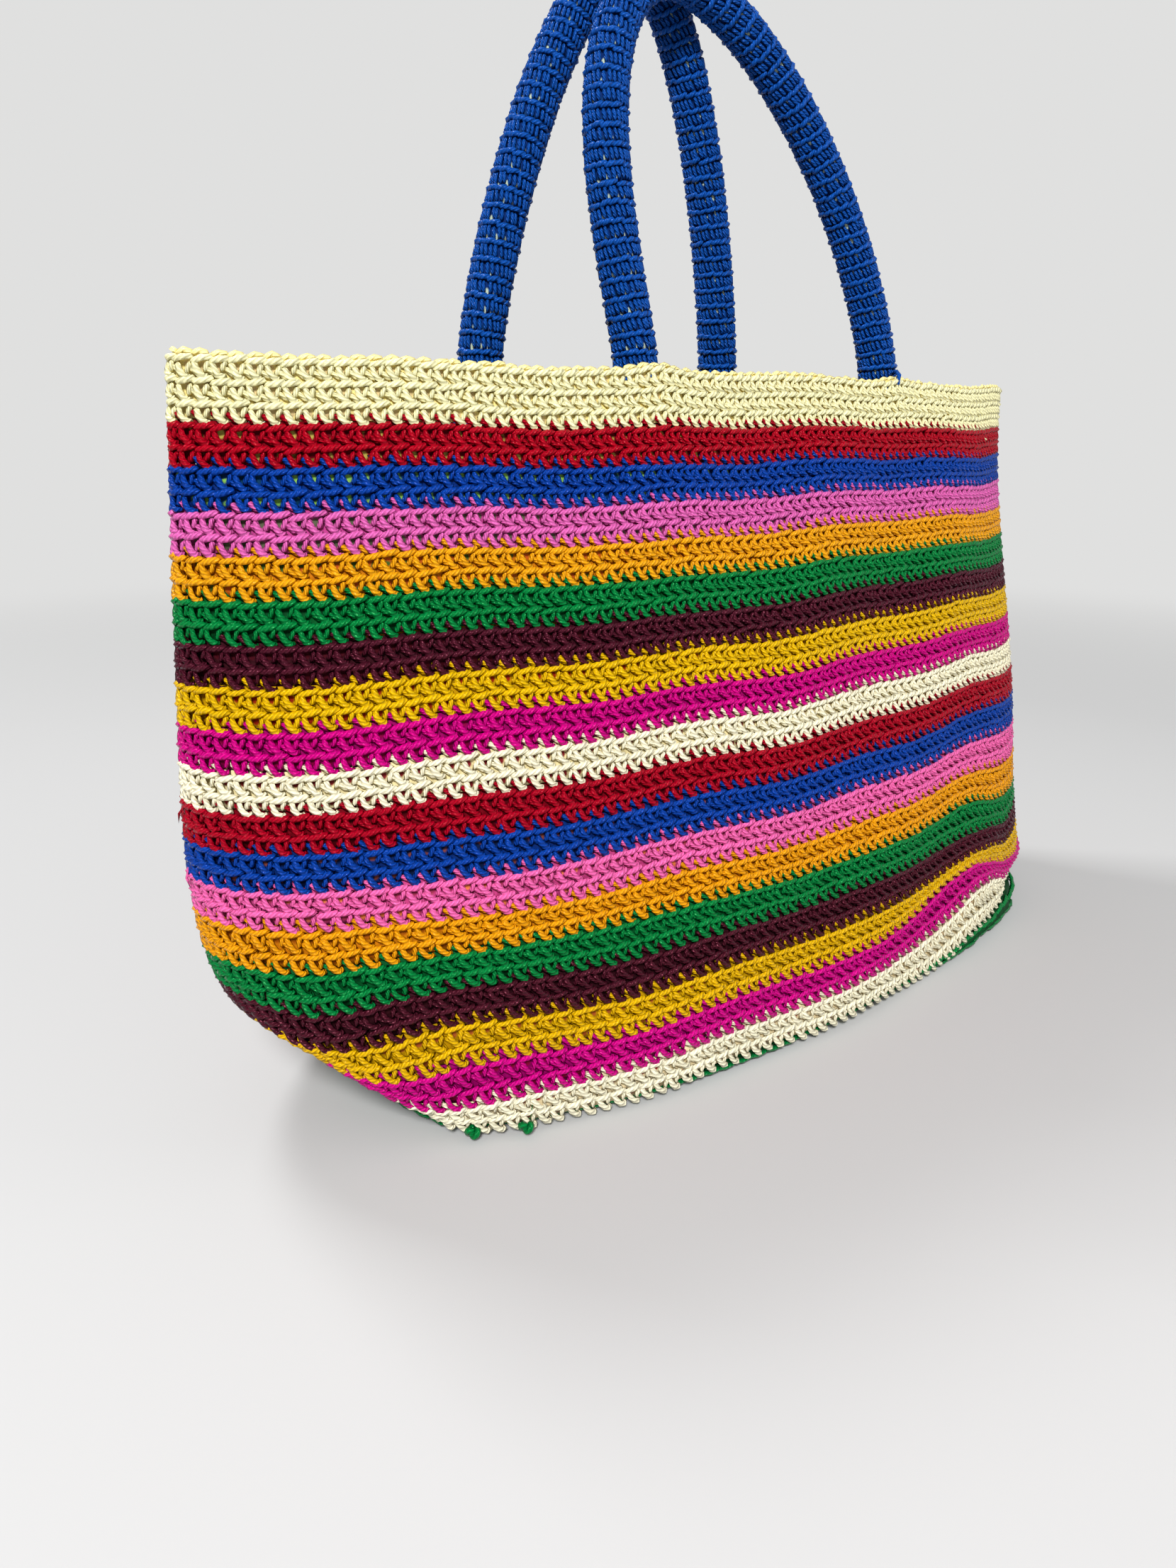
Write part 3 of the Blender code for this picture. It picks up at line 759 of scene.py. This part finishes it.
foot = wall_round(0)
turn = np.linspace(0.0, 2.0 * math.pi, KNOT_POINTS)
knot_path = KNOT_SIZE * np.stack((
    np.sin(turn) + 2.0 * np.sin(2.0 * turn),
    np.cos(turn) - 2.0 * np.cos(2.0 * turn),
    -KNOT_DEPTH * np.sin(3.0 * turn),
), axis=1)
for number, x in enumerate(KNOT_XS, start=1):
    nearest = foot[np.argmin(np.abs(foot[:, 0] - x) + (foot[:, 1] > 0.0))]
    place = nearest - (0.0, KNOT_OUT, 0.0)
    place[2] = KNOT_RISE
    knot = Parts()
    centre, outward = (place + knot_path)[None], unit(knot_path)[None]
    strands(knot, centre, outward, np.zeros((1, KNOT_POINTS)), KNOT_CORD_RADIUS, 7, FRONT_TONES_AND_LIGHT)
    if number == 2:
        arc = (place + MM * FIBRE_PATH)[None]
        outward = np.array([[FIBRE_OUTWARD] * len(FIBRE_PATH)])
        strands(knot, arc, outward, np.zeros((1, len(FIBRE_PATH))), FIBRE_RADIUS, 4, FRONT_TONES_AND_LIGHT)
    piece = knot.build(f"yarn_knot_{number}_tied", green_cord)
    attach(piece, "bag")
    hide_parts(f"yarn_knot_{number}")

# Handles: each is a pale plastic hose in a sleeve of blue cord, crocheted thirteen stitches
# round. Both ends are gathered and sewn inside the rim.
HANDLE_RADIUS = 0.0100
SLEEVE_RADIUS = 0.0082
HOSE_RADIUS = 0.0066
FOOT_CLEARANCE = 0.0006
HANDLE_GAP = 0.0003
FOOT_STRAIGHT = 0.0040
SEWN_LENGTH = 0.0300
MEETING_Y = 0.0080
SKEW_POWER = 1.3
ARCH_POWER = 1.1
ARCH_POINTS = 241
SEWN_POINTS = 9
EVENING_PASSES = 6
SLEEVE_ROW = 0.0074
SLEEVE_STITCHES = 13
ROW_PARTS = 4
SLEEVE_COLUMNS = 60
SLEEVE_LINING_COLUMNS = 14
HOSE_COLUMNS = 14
HOSE_GAP = 0.1 * MM
SLEEVE_LEG_RADIUS = 0.8 * CORD_RADIUS
LEG_APART = 0.24
SLEEVE_LEG = np.array((
    (-0.14, 0.99, -0.9), (-0.08, 0.70, 0.45), (0.06, 0.32, 0.60), (0.14, -0.02, -0.9),
))
SLEEVE_LOOP = np.array((
    (-0.84, 0.86, -0.8), (-0.50, 0.90, 0.45), (0.00, 0.98, 0.85), (0.50, 1.04, 0.45),
    (0.84, 1.03, -0.8),
))
SLEEVE_HOLE = (0.50, 0.22)
# Each handle: its side of the bag, the places of its feet, and the middle, the height over the
# rim and the fullness of its arch
HANDLES = (
    dict(name="front", side=-1, left=-0.062, right=0.105, apex=-0.022, rise=0.166, fullness=2.3),
    dict(name="back", side=1, left=-0.111, right=0.034, apex=-0.030, rise=0.176, fullness=1.3),
)


def inside_of_wall(height, x):
    """Distance of a tube's centre from the middle plane where it lies against the wall."""
    outline = wall_round((height - WALL_FOOT) / ROW_HEIGHT)
    rear = outline[outline[:, 1] >= 0.0]
    order = np.argsort(rear[:, 0])
    face = np.interp(x, rear[order, 0], rear[order, 1])
    return face - WALL - FOOT_CLEARANCE - HANDLE_RADIUS


def handle_line(handle):
    """Centre line from one sewn end over the arch to the other, at even steps."""
    side = handle["side"]
    half_span = 0.5 * (handle["right"] - handle["left"])
    foot_middle = 0.5 * (handle["right"] + handle["left"])
    turn = np.linspace(0.0, math.pi, ARCH_POINTS)
    climb = np.sin(turn) ** (2.0 / handle["fullness"])
    climb[[0, -1]] = 0.0
    swing = -np.sign(np.cos(turn)) * np.abs(np.cos(turn)) ** ARCH_POWER
    x = foot_middle + (handle["apex"] - foot_middle) * climb ** SKEW_POWER + half_span * swing
    feet = [side * inside_of_wall(RIM_TOP, handle[foot]) for foot in ("left", "right")]
    start = np.where(turn < 0.5 * math.pi, *feet)
    y = start + (MEETING_Y + side * (HANDLE_RADIUS + HANDLE_GAP) - start) * climb
    z = RIM_TOP + FOOT_STRAIGHT + (handle["rise"] - FOOT_STRAIGHT) * climb
    arch = np.stack((x, y, z), axis=1)
    ends = []
    for foot in ("left", "right"):
        sewn = []
        for drop in np.linspace(SEWN_LENGTH, 0.0, SEWN_POINTS):
            depth = inside_of_wall(RIM_TOP - max(0.0, drop - FOOT_STRAIGHT), handle[foot])
            sewn.append((handle[foot], side * depth, RIM_TOP - drop))
        ends.append(np.array(sewn))
    line = np.concatenate((ends[0], arch, ends[1][::-1]))
    length = lengths_along(line)[-1]
    rows = round(length / SLEEVE_ROW)
    line = at_lengths(line, np.linspace(0.0, length, rows * ROW_PARTS + 1))
    for _ in range(EVENING_PASSES):
        line[1:-1] = 0.25 * line[:-2] + 0.5 * line[1:-1] + 0.25 * line[2:]
    return line, rows


def tube_grid(line, radius, columns):
    """Rings of points round a centre line."""
    along = unit(np.gradient(line, axis=0))
    deep = unit(np.array((0.0, 1.0, 0.0)) - along * along[:, 1:2])
    across = np.cross(along, deep)
    turn = 2.0 * math.pi * np.arange(columns) / columns
    ring = deep[:, None] * np.cos(turn)[:, None] + across[:, None] * np.sin(turn)[:, None]
    return line[:, None] + radius * ring


def hose_skin(parts, grid):
    """A closed tube over rings of points, with a flat end at each end."""
    rings, columns = grid.shape[:2]
    centres = np.stack((grid[0].mean(axis=0), grid[-1].mean(axis=0)))
    points = np.concatenate((centres[:1], grid.reshape(-1, 3), centres[1:]))
    plain = np.zeros(points.shape)
    parts.add(points, list(tube_faces(rings, columns)), plain, plain)


HOSE_COLOUR = (0.62, 0.68, 0.58)
HOSE_DARK, HOSE_LIGHT = 0.85, 1.1
HOSE_CLOUDS = 90.0
HOSE_ROUGHNESS, CLOUD_ROUGHNESS = 0.35, 0.2
# Through some holes of the sleeve the hose shows, painted darker than the hose as shade. The sleeve's
# blues are its cord, the painted shade in its crevices and on its lining, and what shows in its holes,
# partly painted shade
SPECK_OF_HOSE = (0.42, 0.50, 0.38)
SLEEVE_BLUES = ((0.005, 0.075, 0.37), (0.002, 0.020, 0.12), (0.004, 0.03, 0.11))
sleeve_cord = cord_material("sleeve_cord", *SLEEVE_BLUES, SPECK_OF_HOSE, hole_at=SLEEVE_HOLE)
hose_material, plastic = bare_material("hose")
cloud = plastic.node("ShaderNodeTexNoise", {}, {"Scale": HOSE_CLOUDS, "Detail": 3.0}, 0)
hose_shader = plastic.node("ShaderNodeBsdfPrincipled", {}, {
    "Base Color": cloud.blend(opaque(HOSE_COLOUR, HOSE_DARK), opaque(HOSE_COLOUR, HOSE_LIGHT)),
    "Roughness": cloud * CLOUD_ROUGHNESS + HOSE_ROUGHNESS,
})
plastic.node("ShaderNodeOutputMaterial", {}, {"Surface": hose_shader})

# The front handle's feet are sewn through the rim: the blue yarn shows in four holes of the
# top round, and one turn of it goes over the rim. Each has a stitch, and a path from row 0.
HOLE_STITCHES = (29.6, 31.5, 32.6, 58.4)
HOLE_PATH = ((-0.4, 38.15, -2.4), (-0.15, 38.38, -0.3), (0.15, 38.42, -0.3), (0.4, 38.2, -2.4))
OVER_STITCH = 59.5
OVER_PATH = (
    (0.0, 38.2, -2.0), (0.0, 38.6, 1.2), (0.05, 39.1, 1.9),
    (0.1, 39.4, 0.4), (0.1, 39.3, -2.5), (0.1, 38.8, -5.0),
)


def sewing(parts):
    """The blue yarn that the feet of the front handle are sewn on with."""
    for stitch in HOLE_STITCHES:
        single_strand(parts, wall, stitch, 0.0, HOLE_PATH, CORD_RADIUS, LEG_TONES_AND_LIGHT)
    single_strand(parts, wall, OVER_STITCH, 0.0, OVER_PATH, CORD_RADIUS, LEG_TONES_AND_LIGHT)


for handle in HANDLES:
    line, rows = handle_line(handle)
    sleeve_grid = tube_grid(line, SLEEVE_RADIUS, SLEEVE_COLUMNS)
    fabric = Fabric(sleeve_grid, 0.0, 1.0 / ROW_PARTS, SLEEVE_STITCHES)
    sleeve = Parts()
    rounds = np.arange(rows)
    for shift in (-LEG_APART, LEG_APART):
        leg = SLEEVE_LEG + (shift, 0.0, 0.0)
        stitch_strands(sleeve, fabric, leg, rounds, SLEEVE_LEG_RADIUS, 5, LEG_TONES_AND_LIGHT)
    stitch_strands(sleeve, fabric, SLEEVE_LOOP, rounds, CORD_RADIUS, 6, FRONT_TONES_AND_LIGHT)
    thickness = SLEEVE_RADIUS - HOSE_RADIUS - HOSE_GAP
    lining_sheet(sleeve, fabric, 0, rows, thickness, SLEEVE_LINING_COLUMNS)
    if handle["name"] == "front":
        sewing(sleeve)
    sleeve_piece = sleeve.build(handle["name"] + "_sleeve_crochet", sleeve_cord)
    hose = Parts()
    hose_skin(hose, tube_grid(line[::2], HOSE_RADIUS, HOSE_COLUMNS))
    hose_piece = hose.build(handle["name"] + "_hose", hose_material)
    foot_y = handle["side"] * inside_of_wall(RIM_TOP, handle["left"])
    body = handle["name"] + "_handle"
    for piece in (sleeve_piece, hose_piece):
        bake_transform(piece)
    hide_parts(body + "_sleeve", body + "_left_end", body + "_right_end")
    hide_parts(body + "_core")

# Floor and light: a pale floor that fades into a pale room, a soft lamp high at the front
# left, a weaker one from the right, and one behind that lays the bag's shadow in front of it.
ROOM_COLOUR = (0.745, 0.745, 0.74)
FLOOR_COLOUR = (0.50, 0.50, 0.50)
FLOOR_REACH = 6.0
FLOOR_LEVEL = -0.5 * MM
FADE_FROM, FADE_RATE, FADE_SOFTNESS = 0.7, 1.2, 0.2
AIR_COLOUR = (1.0, 1.0, 1.0)
AIR_STRENGTH = 0.45
LAMP_AIM = Vector((0.0, 0.0, 0.15))

floor_mesh = bpy.data.meshes.new("floor")
reaches = (-FLOOR_REACH, FLOOR_REACH)
corners = [(x, y, FLOOR_LEVEL) for x in reaches for y in reaches]
floor_mesh.from_pydata(corners, [], [(0, 2, 3, 1)])
floor = bpy.data.objects.new("floor", floor_mesh)
bpy.context.scene.collection.objects.link(floor)
floor_material, ground = bare_material("floor")
place = ground.node("ShaderNodeNewGeometry", {}, {}, "Position")
distance = ground.node("ShaderNodeVectorMath", {"operation": "LENGTH"}, {0: place}, "Value")
beyond = distance - FADE_FROM
fade = beyond.maths("SMOOTH_MIN", beyond * FADE_RATE, 1.0, FADE_SOFTNESS)
paint = ground.node("ShaderNodeBsdfDiffuse", {}, {"Color": opaque(FLOOR_COLOUR)})
clear = ground.node("ShaderNodeBsdfTransparent", {}, {})
mixed = ground.node("ShaderNodeMixShader", {}, {0: fade, 1: paint, 2: clear})
ground.node("ShaderNodeOutputMaterial", {}, {"Surface": mixed})
floor_mesh.materials.append(floor_material)

world = bpy.data.worlds.new("room")
world.use_nodes = True
world.node_tree.nodes.clear()
room = Shade(world.node_tree)
seen = room.node("ShaderNodeLightPath", {}, {}, "Is Camera Ray")
air = room.node("ShaderNodeBackground", {}, {"Color": opaque(AIR_COLOUR), "Strength": AIR_STRENGTH})
backdrop = room.node("ShaderNodeBackground", {}, {"Color": opaque(ROOM_COLOUR), "Strength": 1.0})
both = room.node("ShaderNodeMixShader", {}, {0: seen, 1: air, 2: backdrop})
room.node("ShaderNodeOutputWorld", {}, {"Surface": both})
bpy.context.scene.world = world


def soft_lamp(name, place, size, power):
    lamp = bpy.data.lights.new(name, "AREA")
    lamp.size = size
    lamp.energy = power
    holder = bpy.data.objects.new(name, lamp)
    holder.location = place
    holder.rotation_euler = (LAMP_AIM - Vector(place)).to_track_quat("-Z", "Y").to_euler()
    bpy.context.scene.collection.objects.link(holder)


soft_lamp("key_lamp", (-1.5, -1.6, 1.7), 0.5, 88.0)
soft_lamp("fill_lamp", (1.8, -1.4, 1.0), 1.2, 9.0)
soft_lamp("rear_lamp", (-0.5, 1.0, 1.9), 0.5, 22.0)

bpy.context.scene.view_settings.view_transform = "Standard"
